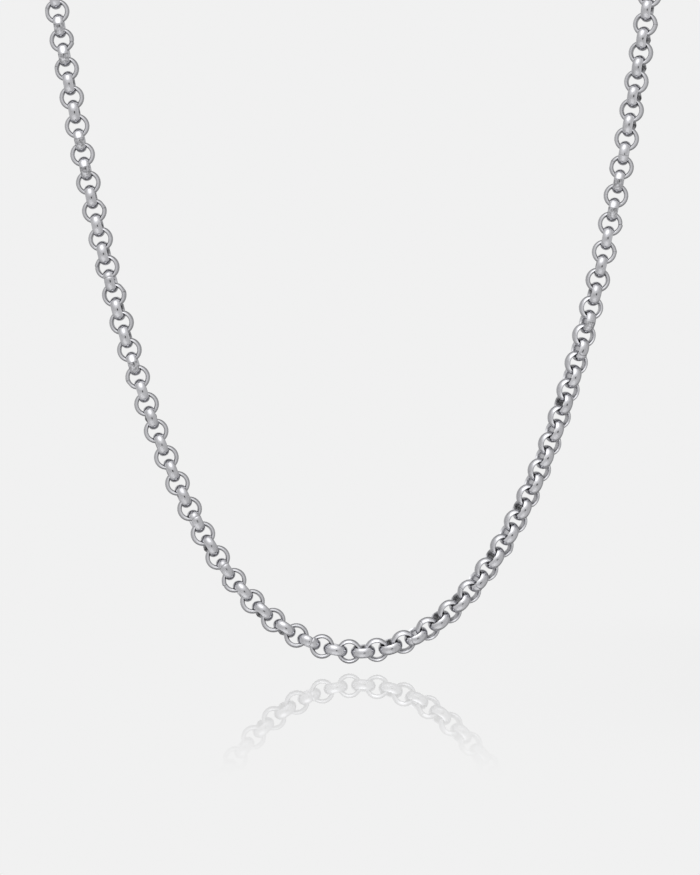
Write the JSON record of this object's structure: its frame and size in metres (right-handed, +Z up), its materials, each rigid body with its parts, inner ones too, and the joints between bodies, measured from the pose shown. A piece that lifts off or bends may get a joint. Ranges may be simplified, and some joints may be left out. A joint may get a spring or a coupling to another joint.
{
  "type": "rolo chain necklace",
  "caption": "Closed necklace of interlocked round links, each turned a quarter from the last, joined at the nape by a plain clasp, with a deep open curve in front.",
  "frame": {"origin": "middle of the clasp, where the necklace lies against the nape", "axes": "+Z up as worn; the front hang faces -Y and the nape is at Y 0; +X is to the right seen from the front"},
  "size_m": [0.1276, 0.074, 0.1817],
  "materials": {
    "chain_steel": "polished",
    "clasp_steel": "polished"
  },
  "bodies": {
    "root": {"chain_left": "chain_steel", "chain_right": "chain_steel", "clasp": "clasp_steel"}
  },
  "joints": []
}
